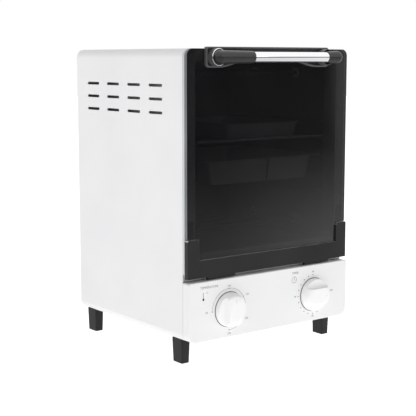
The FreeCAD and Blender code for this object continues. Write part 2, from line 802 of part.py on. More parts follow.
def sleeve_body(joint_x, dome_x, grow=0.0):
    """A tapered round sleeve that ends in a dome, turned about the handle's axis."""
    side = 1 if dome_x > 0 else -1
    joint_radius = sleeve_joint_radius + grow
    dome_radius = sleeve_dome_radius + grow
    bend = dome_radius * math.sqrt(0.5)

    def place(x, radius):
        return point(x, handle_depth, handle_height + radius)
    tip = dome_x + side * dome_radius
    edges = [
        Part.LineSegment(place(joint_x, 0), place(joint_x, joint_radius)).toShape(),
        Part.LineSegment(place(joint_x, joint_radius), place(dome_x, dome_radius)).toShape(),
        Part.Arc(place(dome_x, dome_radius), place(dome_x + side * bend, bend), place(tip, 0)).toShape(),
        Part.LineSegment(place(tip, 0), place(joint_x, 0)).toShape(),
    ]
    profile = Part.Face(Part.Wire(edges))
    return profile.revolve(place(0, 0), Vector(1, 0, 0), 360)


def sleeve_envelope(grow):
    """Space that both sleeves and the tube take up."""
    return join([sleeve_body(tube_left, -handle_dome_x, grow), sleeve_body(tube_right, handle_dome_x, grow),
                 rod_x(tube_left - 1, tube_right + 1, handle_depth, handle_height, tube_radius + grow)])


def handle_sleeve(joint_x, dome_x):
    """One black end sleeve, bored for the tube and for its screw."""
    side = 1 if dome_x > 0 else -1
    seat = dome_x - side * 4
    low, high = sorted((joint_x - side, seat))
    bore = rod_x(low, high, handle_depth, handle_height, tube_radius)
    return sleeve_body(joint_x, dome_x).cut(bore)


def handle_tube():
    """Chrome tube whose ends sit inside the sleeves."""
    low, high = -handle_dome_x + 4, handle_dome_x - 4
    outer = rod_x(low, high, handle_depth, handle_height, tube_radius)
    inner = rod_x(low - 1, high + 1, handle_depth, handle_height, tube_radius - 1)
    return outer.cut(inner)


def handle_screws():
    """Two flush screws, from behind the glass into the mount's arms."""
    screws = []
    for x in handle_screw_places():
        shank = rod_y(x, -15.0, glass_back, handle_screw_height, handle_screw_radius)
        screws.append(join([shank, screw_cone(x, 0)]))
    return Part.makeCompound(screws)


def screw_cone(x, grow):
    """Countersunk head at the back face of the glass."""
    base = point(x, glass_back - 1.2, handle_screw_height)
    return Part.makeCone(handle_screw_radius + grow, 2.6 + grow, 1.2, base, Vector(0, 1, 0))


# ---- knobs and what they turn ----
knob_back = panel_front - 0.8
knob_depth = 13.2
grip_half_width = 8.6
scoop_floor = 6.4           # how far the scooped sides stand in front of the knob's back
shaft_radius = 3.0
neck_radius = 5.2
neck_hole_radius = 5.5


def knob(x, turned):
    """A round knob with a broad grip bar left between two scooped sides."""
    front = knob_back - knob_depth
    skirt_front = knob_back - scoop_floor - 1.2
    profile = [(0, knob_back), (knob_radius, knob_back), (knob_radius, knob_back - 2.0),
               (knob_radius - 0.9, skirt_front)]
    points = [point(r, depth, 0) for r, depth in profile]
    edges = [Part.LineSegment(a, b).toShape() for a, b in zip(points, points[1:])]
    shoulder = point(knob_radius - 3.4, front + 1.4, 0)
    flat_edge = point(10, front, 0)
    crown = point(0, front, 0)
    edges.append(Part.Arc(points[-1], point(knob_radius - 1.8, front + 3.4, 0), shoulder).toShape())
    edges.append(Part.Arc(shoulder, point(13.5, front + 0.4, 0), flat_edge).toShape())
    edges.append(Part.LineSegment(flat_edge, crown).toShape())
    edges.append(Part.LineSegment(crown, points[0]).toShape())
    solid = Part.Face(Part.Wire(edges)).revolve(point(0, 0, 0), Vector(0, 1, 0), 360)
    scoops = [scoop(side) for side in (-1, 1)]
    groove = block((-0.7, 0.7), (front - 1, front + 0.9), (9.5, 18.5))
    hollow_back = rod_y(0, knob_back - 5, knob_back + 1, 0, knob_radius - 2.2)
    hub = rod_y(0, knob_back - 5.5, knob_back + 0.01, 0, 6.5)
    bore = rod_y(0, knob_back - 9, knob_back + 1, 0, shaft_radius)
    solid = solid.cut(scoops + [groove, hollow_back]).fuse(hub).cut(bore).removeSplitter()
    solid.rotate(point(0, 0, 0), Vector(0, 1, 0), turned)
    solid.translate(Vector(x, 0, knob_height))
    return solid


def scoop(side):
    """Cutter for one scooped side: steep beside the bar, rounded at its foot, then level."""
    floor = knob_back - scoop_floor
    wall = grip_half_width
    blend = 3.2
    top = knob_back - knob_depth - 2

    def place(across, depth):
        return point(side * across, depth, -30)
    bend = blend * (1 - math.sqrt(0.5))
    edges = [
        Part.LineSegment(place(wall, top), place(wall + 1.2, floor - blend)).toShape(),
        Part.Arc(place(wall + 1.2, floor - blend), place(wall + 1.2 + bend, floor - bend),
                 place(wall + 1.2 + blend, floor)).toShape(),
        Part.LineSegment(place(wall + 1.2 + blend, floor), place(30, floor)).toShape(),
        Part.LineSegment(place(30, floor), place(30, top)).toShape(),
        Part.LineSegment(place(30, top), place(wall, top)).toShape(),
    ]
    return Part.Face(Part.Wire(edges)).extrude(Vector(0, 0, 60))


def control_shaft(x, inner_end):
    """Shaft from a knob's bore back into its switch."""
    return rod_y(x, knob_back - 9, inner_end, knob_height, shaft_radius)


def thermostat_body():
    """Ceramic-based thermostat on the switch plate, with a threaded neck and two tabs."""
    x = temperature_x
    case = block((x - 19, x + 19), (-0.6, 22), (knob_height - 15, knob_height + 15))
    neck = rod_y(x, -4, 0, knob_height, neck_radius)
    tab_heights = (knob_height - 0.4, knob_height + 0.4)
    tabs = [block((middle - 3, middle + 3), (22, 30), tab_heights) for middle in (x - 11, x + 11)]
    bore = rod_y(x, -6, 12, knob_height, shaft_radius + running_clearance)
    return join([case, neck] + tabs).cut(bore)


def timer_body():
    """Clockwork timer case with its neck."""
    case = rod_y(timer_x, -0.6, 32, knob_height, 24.0)
    neck = rod_y(timer_x, -4, 0, knob_height, neck_radius)
    post = rod_y(timer_x, 31, 38, knob_height, 2.5)
    bore = rod_y(timer_x, -6, 14, knob_height, shaft_radius + running_clearance)
    return join([case, neck, post]).cut(bore)


def timer_bell():
    """Domed bell on the back of the timer."""
    ball_radius = 30.0
    centre = point(timer_x, 44 - ball_radius, knob_height)
    dome = Part.makeSphere(ball_radius, centre).cut(Part.makeSphere(ball_radius - 1, centre))
    keep = rod_y(timer_x, 36, 50, knob_height, 21)
    return dome.common(keep).cut(rod_y(timer_x, 30, 50, knob_height, 2.5))


# ---- electrics ----
gland_hole_radius = 7.0


def cord_gland():
    """Moulded gland in the back cover; the bore takes the supply cord."""
    outer_face = cabinet_depth - 0.2
    flange = rod_y(gland_x, outer_face, outer_face + 2.2, gland_height, 9.5)
    neck = rod_y(gland_x, outer_face - 7, outer_face, gland_height, gland_hole_radius)
    nose = Part.makeCone(7.6, 5.6, gland_reach + 0.2 - 2.2, point(gland_x, outer_face + 2.2, gland_height),
                         Vector(0, 1, 0))
    nut = rod_y(gland_x, outer_face - 5, outer_face - 1, gland_height, 10)
    bore = rod_y(gland_x, outer_face - 8, cabinet_depth + gland_reach + 1, gland_height, cord_radius)
    return join([flange, neck, nose, nut]).cut(bore)


def terminal_block():
    """Three-way terminal block on the base plate."""
    body = block((-50, -22), (176, 192), (2 * sheet, 16))
    screws = [rod_z(-45 + 9 * index, 184, 10, 20, 2.6) for index in range(3)]
    return body.cut(screws)


wire_radius = 1.3
wire_bend = 7.0
wire_side_x = 110.0         # in the space beside the chamber


def internal_wiring():
    """Insulated wires between the terminal block, the switches and the heaters, one group of solids."""
    clear = heater_depths[1]
    routes = [
        [point(-36, 175.5, 8), point(-36, 100, 8), point(-60, 60, 12), point(-55.5, 30.5, 33.2)],
        [point(-27, 175.5, 8), point(-20, 100, 7), point(20, 60, 8), point(50, 50, 16)],
    ]
    for x in (-wire_side_x, wire_side_x):
        routes.append([point(x, clear - 5, 128), point(x, clear + 14, 160), point(x, clear + 14, 260),
                       point(x, clear - 5, 291)])
    return Part.makeCompound([bent_tube(route, wire_radius, wire_bend) for route in routes])


# ---- the whole object ----
def build():
    """Every node, by name."""
    parts["outer_shell"] = outer_shell()
    parts["base_plate"] = base_plate()
    parts["back_cover"] = back_cover()
    parts["back_screws"] = back_screws()
    for name, (x, depth) in zip(("front_left", "front_right", "rear_left", "rear_right"), foot_places()):
        parts["foot_" + name] = foot(x, depth)
    parts["foot_screws"] = foot_screws()
    parts["front_frame"] = front_frame()
    parts["control_panel"] = control_panel()
    parts["switch_plate"] = switch_plate()
    parts["switch_plate_screws"] = switch_plate_screws()
    both_sides("chamber_wall", chamber_side())
    parts["chamber_back"] = chamber_back()
    parts["chamber_roof"] = chamber_roof()
    parts["chamber_floor"] = chamber_floor()
    heater_names = ("upper_front", "upper_rear", "lower_front", "lower_rear")
    for name, (depth, height) in zip(heater_names, heater_places()):
        parts["heater_" + name] = heater_tube(depth, height)
    parts["heater_insulators"] = heater_insulators()
    parts["wire_rack"] = wire_rack()
    parts["instrument_tray"] = instrument_tray()
    parts["drip_pan"] = drip_pan()
    parts["door_glass"] = door_glass()
    parts["door_rail"] = door_rail()
    both_sides("hinge_bracket", hinge_bracket())
    both_sides("hinge_pin", hinge_pin())
    both_sides("door_link", door_link())
    both_sides("link_rivet", link_rivet())
    both_sides("door_spring", door_spring())
    parts["handle_mount"] = handle_mount()
    parts["handle_sleeve_left"] = handle_sleeve(tube_left, -handle_dome_x)
    parts["handle_sleeve_right"] = handle_sleeve(tube_right, handle_dome_x)
    parts["handle_tube"] = handle_tube()
    parts["handle_screws"] = handle_screws()
    parts["temperature_knob"] = knob(temperature_x, 0)
    parts["timer_knob"] = knob(timer_x, 90)
    parts["thermostat_shaft"] = control_shaft(temperature_x, 10)
    parts["timer_shaft"] = control_shaft(timer_x, 12)
    parts["thermostat_body"] = thermostat_body()
    parts["timer_body"] = timer_body()
    parts["timer_bell"] = timer_bell()
    parts["cord_gland"] = cord_gland()
    parts["terminal_block"] = terminal_block()
    parts["internal_wiring"] = internal_wiring()


build()
os.makedirs("parts", exist_ok=True)
for node, shape in parts.items():
    shape.exportStep("parts/" + node + ".step")
    box = shape.BoundBox
    print(node, "solids", len(shape.Solids), "valid", shape.isValid(), "volume", round(shape.Volume),
          "x", round(box.XMin, 1), round(box.XMax, 1), "y", round(box.YMin, 1), round(box.YMax, 1),
          "z", round(box.ZMin, 1), round(box.ZMax, 1))
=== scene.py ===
# %% [markdown]
# # A benchtop sterilizer
# A white steel cabinet stands on four black posts. A dark glass door drops down on hinges under
# its bottom rail, and two white knobs turn on a printed panel. The engineering model is loaded
# first, because every piece made here has to sit exactly where that model says.

# %% Load the frame
import math
import bmesh
import bpy
from mathutils import Matrix, Vector


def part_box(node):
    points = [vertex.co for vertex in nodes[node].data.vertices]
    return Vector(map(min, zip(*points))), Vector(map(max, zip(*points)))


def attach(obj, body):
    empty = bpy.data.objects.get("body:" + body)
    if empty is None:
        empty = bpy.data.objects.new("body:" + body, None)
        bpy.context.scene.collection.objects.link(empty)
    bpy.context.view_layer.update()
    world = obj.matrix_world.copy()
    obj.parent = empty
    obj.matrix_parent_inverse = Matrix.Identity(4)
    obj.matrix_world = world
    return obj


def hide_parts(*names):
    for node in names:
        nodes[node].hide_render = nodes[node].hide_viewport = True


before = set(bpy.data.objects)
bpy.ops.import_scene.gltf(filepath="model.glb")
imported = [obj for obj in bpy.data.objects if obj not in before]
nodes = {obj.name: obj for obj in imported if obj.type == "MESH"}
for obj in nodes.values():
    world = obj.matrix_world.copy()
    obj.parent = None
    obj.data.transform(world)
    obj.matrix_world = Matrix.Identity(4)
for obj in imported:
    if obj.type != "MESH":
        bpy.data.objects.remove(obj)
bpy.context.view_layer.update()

# %% [markdown]
# ## Where things are
# A fitter measures a cabinet in millimetres from its front edge and its underside, while Blender
# works in metres from the frame's origin. Converting by hand would hide mistakes, so one small
# function turns a fitter's measure into a place in the frame.

# %% Places on the cabinet
shell_low = Vector(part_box("outer_shell")[0])


def at(x, depth, height):
    """Millimetres across, back from the front edge and up from the underside, as metres."""
    return Vector((x / 1000, shell_low.y + depth / 1000, shell_low.z + height / 1000))


print("cabinet front", round(shell_low.y, 4), "underside", round(shell_low.z, 4))

# %% [markdown]
# ## The camera
# The cabinet is seen past its left front corner, from just under its top edge. A short lens close
# by would show the same faces but make the upright edges lean apart. A long lens that stands well
# back keeps them nearly parallel, as product views usually do.

# %% Camera
sensor_width = 36
lens_length = 92.37
camera_place = (-0.8146, -1.0543, 0.3471)
camera_tilt = 82.069
camera_turn = -37.416

camera_data = bpy.data.cameras.new("camera")
camera_data.sensor_width = sensor_width
camera_data.lens = lens_length
camera = bpy.data.objects.new("camera", camera_data)
camera.location = camera_place
camera.rotation_euler = (math.radians(camera_tilt), 0, math.radians(camera_turn))
bpy.context.scene.collection.objects.link(camera)
bpy.context.scene.camera = camera
print("camera", camera_place, "lens", lens_length)

# %% [markdown]
# ## The floor
# White goods are often shown in light so even that the ground almost disappears. A plain white
# plane would turn grey wherever the cabinet shades it. This pale sheet glows a little instead,
# which keeps the shadow under the feet very soft. Glossy parts don't mirror it, because the
# surroundings further down already hold a floor for them.

# %% Floor
floor_radius = 9
floor_look = {"Base Color": (0.85, 0.85, 0.85, 1), "Roughness": 0.9, "Specular IOR Level": 0.1,
              "Emission Color": (1, 1, 1, 1), "Emission Strength": 0.9}

floor_bm = bmesh.new()
bmesh.ops.create_circle(floor_bm, cap_ends=True, radius=floor_radius, segments=64)
floor_mesh = bpy.data.meshes.new("floor")
floor_bm.to_mesh(floor_mesh)
floor_bm.free()
floor = bpy.data.objects.new("floor", floor_mesh)
bpy.context.scene.collection.objects.link(floor)
floor_finish = bpy.data.materials.new("pale_floor")
floor_finish.use_nodes = True
for socket, value in floor_look.items():
    floor_finish.node_tree.nodes["Principled BSDF"].inputs[socket].default_value = value
floor_mesh.materials.append(floor_finish)
floor.visible_glossy = False
print("floor radius", floor_radius)

# %% [markdown]
# ## The lamps
# A small lamp makes hard shadows and a hot spot on chrome. A studio hangs large cloth boxes
# round the object, and large rectangular area lamps do the same job here: one overhead, one at
# the left for the cabinet's side and one in front for the panel.

# %% Lamps
lamp_target = Vector((0, 0, 0.2))


def softbox(name, place, width, height, watts):
    """A rectangular lamp that faces the cabinet."""
    data = bpy.data.lights.new(name, "AREA")
    data.shape = "RECTANGLE"
    data.size = width
    data.size_y = height
    data.energy = watts
    lamp = bpy.data.objects.new(name, data)
    lamp.location = place
    lamp.rotation_euler = (lamp_target - Vector(place)).to_track_quat("-Z", "Y").to_euler()
    bpy.context.scene.collection.objects.link(lamp)
    print(name, "watts", watts)


softbox("lamp_top", (0.0, -0.3, 1.9), 1.8, 1.4, 5)
softbox("lamp_left", (-2.2, -0.6, 1.1), 1.6, 1.6, 2.2)
softbox("lamp_front", (0.9, -2.4, 1.1), 1.8, 1.4, 5.5)

# %% [markdown]
# ## The surroundings
# Chrome and glass have hardly any colour of their own: they show whatever stands round them. A
# modelled room would do, but soft bands of grey on the world are quicker to trace and easier to
# move. Each helper below adds one step to the world's nodes. A band is placed by direction: its
# height is the upward part of that direction, from -1 straight down to 1 straight up.

# %% Helpers for the surroundings
world = bpy.data.worlds.new("surroundings")
bpy.context.scene.world = world
world.use_nodes = True
sky = world.node_tree
facing = sky.nodes.new("ShaderNodeTexCoord")
toward = sky.nodes.new("ShaderNodeSeparateXYZ")
sky.links.new(facing.outputs["Generated"], toward.inputs["Vector"])


def sky_range(axis, low, high):
    """Runs from 0 to 1 between two values of a direction's part along an axis."""
    span = sky.nodes.new("ShaderNodeMapRange")
    span.inputs["From Min"].default_value = low
    span.inputs["From Max"].default_value = high
    sky.links.new(toward.outputs[axis], span.inputs["Value"])
    return span.outputs["Result"]


def sky_bands(stops):
    """Grey tones by height: each stop is an upward part of the direction and a tone."""
    bands = sky.nodes.new("ShaderNodeValToRGB")
    low, high = stops[0][0], stops[-1][0]
    bands.color_ramp.elements[0].color = (stops[0][1],) * 3 + (1,)
    bands.color_ramp.elements[1].color = (stops[-1][1],) * 3 + (1,)
    for upward, tone in stops[1:-1]:
        bands.color_ramp.elements.new((upward - low) / (high - low)).color = (tone, tone, tone, 1)
    sky.links.new(sky_range("Z", low, high), bands.inputs["Fac"])
    return bands.outputs["Color"]


def sky_mix(share, first, second):
    """One colour or the other, by a share from 0 to 1."""
    mix = sky.nodes.new("ShaderNodeMix")
    mix.data_type = "RGBA"
    sky.links.new(share, mix.inputs["Factor"])
    for source, socket in ((first, mix.inputs[6]), (second, mix.inputs[7])):
        sky.links.new(source, socket)
    return mix.outputs[2]


print("directions come from", facing.outputs["Generated"].name)

# %% [markdown]
# The room has a white ceiling, a dark strip at eye level and a grey floor. Towards the right the
# floor turns paler and then gives way to an even grey wall. White paper hangs behind the cabinet.
# Each list below is one column of bands, and the mixes fade from one column to the next.

# %% Bands round the cabinet
ceiling = [(0.05, 0.03), (0.10, 0.30), (0.16, 1.0), (0.65, 1.0)]
left_floor = [(-0.35, 0.60), (-0.18, 0.36), (-0.12, 0.08), (-0.08, 0.02)]
right_floor = [(-0.35, 0.80), (-0.18, 1.0), (-0.12, 0.45), (-0.08, 0.06)]
grey_wall = [(-0.35, 0.80), (-0.05, 0.60), (0.10, 0.60), (0.65, 1.0)]
paper = [(-0.60, 0.50), (-0.20, 0.90), (0.65, 1.0)]
front = sky_mix(sky_range("X", 0.61, 0.69), sky_bands(left_floor + ceiling), sky_bands(right_floor + ceiling))
front = sky_mix(sky_range("X", 0.692, 0.706), front, sky_bands(grey_wall))
around = sky_mix(sky_range("Y", 0.20, 0.55), front, sky_bands(paper))
print("sky nodes", len(sky.nodes))

# %% [markdown]
# If the bands also lit the white paint, it would burn out. Rays that bounce off a mirror see the
# bands, soft light comes from one even grey, and the camera itself sees plain white behind the
# cabinet. A light path node tells these three kinds of ray apart.

# %% Which rays see what
mirrored_strength = 1.1
soft_tone = 0.46
rays = sky.nodes.new("ShaderNodeLightPath")


def sky_light(tone):
    """An even light of one grey tone."""
    light = sky.nodes.new("ShaderNodeBackground")
    light.inputs["Color"].default_value = (tone, tone, tone, 1)
    return light.outputs["Background"]


def sky_choice(ray, otherwise, chosen):
    """One light for a kind of ray and another for the rest."""
    choice = sky.nodes.new("ShaderNodeMixShader")
    sky.links.new(rays.outputs[ray], choice.inputs["Fac"])
    sky.links.new(otherwise, choice.inputs[1])
    sky.links.new(chosen, choice.inputs[2])
    return choice.outputs["Shader"]


mirrored = sky.nodes["Background"]
mirrored.inputs["Strength"].default_value = mirrored_strength
sky.links.new(around, mirrored.inputs["Color"])
room = sky_choice("Is Glossy Ray", sky_light(soft_tone), mirrored.outputs["Background"])
shown = sky_choice("Is Camera Ray", room, sky_light(1.0))
sky.links.new(shown, sky.nodes["World Output"].inputs["Surface"])
bpy.context.scene.view_settings.view_transform = "Standard"
print("mirrored light", mirrored_strength, "soft light", soft_tone)

# %% [markdown]
# ## Finishes
# A finish is more than a colour. A flat colour would do for a sketch, but real paint, plastic and
# metal vary a little from place to place. Each finish here reads the surface's own position, makes
# a noise of the right grain, and lets it move the colour, the roughness and a very small bump.
# Position is used and not a camera view, so the grain stays put when the object turns.

# %% Steps of a finish
ramp_start, ramp_end = 0.3, 0.7


def new_finish(name, metallic=0.0):
    """A material with its shader and its object coordinates."""
    material = bpy.data.materials.new(name)
    material.use_nodes = True
    shader = material.node_tree.nodes["Principled BSDF"]
    shader.inputs["Metallic"].default_value = metallic
    place = material.node_tree.nodes.new("ShaderNodeTexCoord")
    return material, shader, place.outputs["Object"]


def grain(material, place, scale, stretch=(1, 1, 1), detail=3.0):
    """A noise read from the surface's place, stretched along one axis for drawn or brushed metal."""
    tree = material.node_tree
    squeeze = tree.nodes.new("ShaderNodeMapping")
    squeeze.inputs["Scale"].default_value = stretch
    noise = tree.nodes.new("ShaderNodeTexNoise")
    noise.inputs["Scale"].default_value = scale
    noise.inputs["Detail"].default_value = detail
    tree.links.new(place, squeeze.inputs["Vector"])
    tree.links.new(squeeze.outputs["Vector"], noise.inputs["Vector"])
    return noise.outputs["Fac"]


def colour_from(material, shader, pattern, dark, light):
    """The base colour runs from dark to light as the pattern does."""
    ramp = material.node_tree.nodes.new("ShaderNodeValToRGB")
    for element, position, colour in zip(ramp.color_ramp.elements, (ramp_start, ramp_end), (dark, light)):
        element.position = position
        element.color = (*colour, 1)
    material.node_tree.links.new(pattern, ramp.inputs["Fac"])
    material.node_tree.links.new(ramp.outputs["Color"], shader.inputs["Base Color"])


def roughness_from(material, shader, pattern, smooth, rough):
    """The roughness runs between two values as the pattern does."""
    spread = material.node_tree.nodes.new("ShaderNodeMapRange")
    limits = {"From Min": ramp_start, "From Max": ramp_end, "To Min": smooth, "To Max": rough}
    for socket, value in limits.items():
        spread.inputs[socket].default_value = value
    material.node_tree.links.new(pattern, spread.inputs["Value"])
    material.node_tree.links.new(spread.outputs["Result"], shader.inputs["Roughness"])


def bump_from(material, shader, pattern, strength, millimetres):
    """A small raised texture."""
    bump = material.node_tree.nodes.new("ShaderNodeBump")
    bump.inputs["Strength"].default_value = strength
    bump.inputs["Distance"].default_value = millimetres / 1000
    material.node_tree.links.new(pattern, bump.inputs["Height"])
    material.node_tree.links.new(bump.outputs["Normal"], shader.inputs["Normal"])


print("patterns run between", ramp_start, "and", ramp_end)

# %% [markdown]
# Paint on sheet steel is almost flat white, with the faint orange peel that a sprayed coat leaves.
# The panel and the knobs are moulded in a smoother white, so their highlights are a little
# tighter. One function strings the steps together, so that each finish below is one line: dark
# and light colour, smooth and rough, size of grain, and strength of bump.

# %% White finishes
broad_scale, broad_detail = 14, 2.0
bump_height = 0.05


def simple_finish(name, dark, light, smooth, rough, scale, bump, metallic=0.0, stretch=(1, 1, 1)):
    """A finish with broad shifts of colour and a fine grain in roughness and bump."""
    material, shader, place = new_finish(name, metallic)
    fine = grain(material, place, scale, stretch)
    broad = grain(material, place, broad_scale, (1, 1, 1), broad_detail)
    colour_from(material, shader, broad, dark, light)
    roughness_from(material, shader, fine, smooth, rough)
    bump_from(material, shader, fine, bump, bump_height)
    print(name, "grain", scale, "bump", bump)
    return shader


simple_finish("white_paint", (0.84, 0.84, 0.85), (0.87, 0.87, 0.875), 0.34, 0.42, 900, 0.10)
simple_finish("panel_white", (0.86, 0.86, 0.865), (0.88, 0.88, 0.885), 0.28, 0.34, 1400, 0.04)
simple_finish("knob_white", (0.93, 0.93, 0.935), (0.95, 0.95, 0.955), 0.26, 0.36, 1800, 0.05)
simple_finish("frame_grey", (0.60, 0.61, 0.62), (0.65, 0.66, 0.67), 0.36, 0.46, 900, 0.10)
simple_finish("back_white", (0.76, 0.76, 0.77), (0.80, 0.80, 0.81), 0.40, 0.50, 700, 0.14)

# %% [markdown]
# Black parts differ mostly in gloss. The moulded rail and the arched mount are satin with a spark
# eroded grain, the handle's sleeves are smoother, and the feet and rubber are dull. The mount's
# black is lighter than the rail's, as a painted highlight on its rim and sides. The rail reflects a
# little less than most plastic, and that one value is set on the shader itself.

# %% Black finishes
rail_reflection = 0.36
rail_dark, rail_light = (0.010, 0.010, 0.011), (0.016, 0.016, 0.017)
rail_shader = simple_finish("moulding_black", rail_dark, rail_light, 0.36, 0.50, 1600, 0.20)
rail_shader.inputs["Specular IOR Level"].default_value = rail_reflection
# The mount's lighter black paints a highlight on its rim and sides.
simple_finish("mount_highlight_black", (0.070, 0.070, 0.071), (0.090, 0.090, 0.091), 0.30, 0.44, 1600, 0.16)
simple_finish("sleeve_black", (0.012, 0.012, 0.013), (0.018, 0.018, 0.019), 0.24, 0.32, 900, 0.05)
simple_finish("post_black", (0.008, 0.008, 0.0085), (0.015, 0.015, 0.016), 0.50, 0.66, 1200, 0.22)
simple_finish("rubber_black", (0.014, 0.014, 0.014), (0.024, 0.024, 0.024), 0.60, 0.80, 900, 0.30)
simple_finish("ink_grey", (0.15, 0.15, 0.155), (0.20, 0.20, 0.205), 0.45, 0.60, 2000, 0.05)
simple_finish("ink_dark", (0.012, 0.012, 0.013), (0.022, 0.022, 0.023), 0.45, 0.60, 2000, 0.05)

# %% [markdown]
# Metals get their character from direction. Brushed and drawn steel has long fine lines. They
# could be painted as a picture, but a noise stretched hard along one axis never repeats and needs
# no picture. Plated wire and the handle's tube are nearly mirrors, so they keep only a trace.

# %% Metal finishes
metal, worn_metal = 1.0, 0.8
drawn, rolled, brushed = (0.03, 1, 1), (0.05, 1, 1), (1, 0.02, 1)
simple_finish("chrome_bright", (0.86, 0.87, 0.88), (0.90, 0.905, 0.91), 0.05, 0.09, 600, 0.02, metal, drawn)
simple_finish("plated_wire", (0.66, 0.67, 0.68), (0.78, 0.79, 0.80), 0.16, 0.30, 800, 0.08, metal)
simple_finish("brushed_steel", (0.36, 0.36, 0.37), (0.44, 0.44, 0.45), 0.30, 0.44, 1500, 0.18, metal, brushed)
simple_finish("tray_steel", (0.68, 0.69, 0.70), (0.78, 0.79, 0.80), 0.24, 0.36, 1200, 0.12, metal, drawn)
simple_finish("pan_metal", (0.74, 0.75, 0.76), (0.82, 0.83, 0.84), 0.34, 0.48, 900, 0.14, metal, rolled)
simple_finish("zinc_steel", (0.48, 0.49, 0.50), (0.60, 0.61, 0.62), 0.28, 0.42, 700, 0.12, metal)
simple_finish("spring_wire", (0.26, 0.26, 0.27), (0.36, 0.36, 0.37), 0.24, 0.40, 1200, 0.10, metal)
simple_finish("burnt_steel", (0.10, 0.085, 0.075), (0.20, 0.18, 0.17), 0.42, 0.62, 500, 0.25, worn_metal)
simple_finish("turned_brass", (0.62, 0.46, 0.20), (0.72, 0.56, 0.28), 0.20, 0.34, 1500, 0.10, metal)

# %% [markdown]
# Galvanised sheet shows flat crystals, each with its own shade. Noise is too soft for that, so a
# cell pattern gives every crystal one random colour, and two of its channels set how light and
# how rough the crystal is.

# %% Galvanised sheet
crystal_scale, sheet_scale = 110, 500
galvanised, shader, place = new_finish("galvanised", metal)
crystals = galvanised.node_tree.nodes.new("ShaderNodeTexVoronoi")
crystals.inputs["Scale"].default_value = crystal_scale
galvanised.node_tree.links.new(place, crystals.inputs["Vector"])
flakes = galvanised.node_tree.nodes.new("ShaderNodeSeparateColor")
galvanised.node_tree.links.new(crystals.outputs["Color"], flakes.inputs["Color"])
colour_from(galvanised, shader, flakes.outputs["Red"], (0.42, 0.43, 0.44), (0.60, 0.61, 0.62))
roughness_from(galvanised, shader, flakes.outputs["Green"], 0.34, 0.56)
bump_from(galvanised, shader, grain(galvanised, place, sheet_scale), 0.10, bump_height)
print("galvanised crystals", crystal_scale)

# %% [markdown]
# The small inner parts are ceramic, pale resin and glass-fibre sleeving. They are only glimpsed,
# but each still reads as its own stuff. The sleeving is braided, so diagonal waves stand for its
# threads and raise its surface as well.

# %% Ceramic, resin and woven sleeving
simple_finish("ceramic_white", (0.72, 0.69, 0.62), (0.82, 0.80, 0.74), 0.62, 0.85, 700, 0.35)
simple_finish("pale_resin", (0.66, 0.62, 0.52), (0.74, 0.71, 0.62), 0.40, 0.56, 900, 0.12)
thread_scale, fibre_scale = 420, 900
thread_bump, thread_height = 0.5, 0.2
woven_sleeve, shader, place = new_finish("woven_sleeve")
weave = woven_sleeve.node_tree.nodes.new("ShaderNodeTexWave")
weave.wave_type = "BANDS"
weave.bands_direction = "DIAGONAL"
weave.inputs["Scale"].default_value = thread_scale
weave.inputs["Distortion"].default_value = 1.5
woven_sleeve.node_tree.links.new(place, weave.inputs["Vector"])
colour_from(woven_sleeve, shader, weave.outputs["Fac"], (0.40, 0.38, 0.33), (0.62, 0.60, 0.54))
roughness_from(woven_sleeve, shader, grain(woven_sleeve, place, fibre_scale), 0.70, 0.90)
bump_from(woven_sleeve, shader, weave.outputs["Fac"], thread_bump, thread_height)
print("woven threads", thread_scale)

# %% [markdown]
# The door is tempered glass with a smoke tint in front of a dark chamber. True transmission would
# bend and filter every ray and needs many samples. An alpha below one lets part of the light pass
# straight through instead, which stays quiet and quick to trace, while the surface keeps its sharp
# reflection. The ground edge of the sheet is paler and less clear, so it has its own finish, and
# that paler colour also paints the bright line of light along the glass edge.

# %% Glass
glass_index, glass_alpha = 1.75, 0.66
door_smoke, shader, place = new_finish("door_smoke")
shader.inputs["IOR"].default_value = glass_index
shader.inputs["Alpha"].default_value = glass_alpha
smears = grain(door_smoke, place, 18, (1, 1, 1), broad_detail)
colour_from(door_smoke, shader, smears, (0.006, 0.006, 0.007), (0.010, 0.010, 0.011))
roughness_from(door_smoke, shader, smears, 0.02, 0.05)
# A paler ground edge, lightened further as a painted highlight along the glass edge.
simple_finish("ground_edge_and_highlight", (0.14, 0.155, 0.15), (0.20, 0.22, 0.215), 0.30, 0.45, 900, 0.10)
print("glass index", glass_index, "alpha", glass_alpha)

# %% [markdown]
# ## Dressing the carried parts
# Parts that are already right keep their shape and only get a finish. Setting each by hand would
# take fifty lines, so a dictionary pairs each finish with the parts that wear it.

# %% Give each carried part its finish
wardrobe = {
    "white_paint": ["outer_shell"],
    "back_white": ["back_cover"],
    "frame_grey": ["front_frame"],
    "panel_white": ["control_panel"],
    "knob_white": ["temperature_knob", "timer_knob"],
    "door_smoke": ["door_glass"],
    "moulding_black": ["door_rail", "handle_mount"],
    "sleeve_black": ["handle_sleeve_left", "handle_sleeve_right"],
    "chrome_bright": ["handle_tube", "handle_screws", "back_screws", "foot_screws", "switch_plate_screws",
                      "timer_bell"],
    "post_black": ["foot_front_left", "foot_front_right", "foot_rear_left", "foot_rear_right"],
    "rubber_black": ["cord_gland"],
    "galvanised": ["base_plate", "switch_plate", "timer_body"],
    "brushed_steel": ["chamber_wall_left", "chamber_wall_right", "chamber_back", "chamber_roof",
                      "chamber_floor"],
    "pan_metal": ["drip_pan"],
    "tray_steel": ["instrument_tray"],
    "plated_wire": ["wire_rack"],
    "burnt_steel": ["heater_upper_front", "heater_upper_rear", "heater_lower_front", "heater_lower_rear"],
    "ceramic_white": ["heater_insulators", "thermostat_body"],
    "pale_resin": ["terminal_block"],
    "zinc_steel": ["hinge_bracket_left", "hinge_bracket_right", "hinge_pin_left", "hinge_pin_right",
                   "door_link_left", "door_link_right", "link_rivet_left", "link_rivet_right"],
    "spring_wire": ["door_spring_left", "door_spring_right"],
    "turned_brass": ["thermostat_shaft", "timer_shaft"],
    "woven_sleeve": ["internal_wiring"],
}
dressed = 0
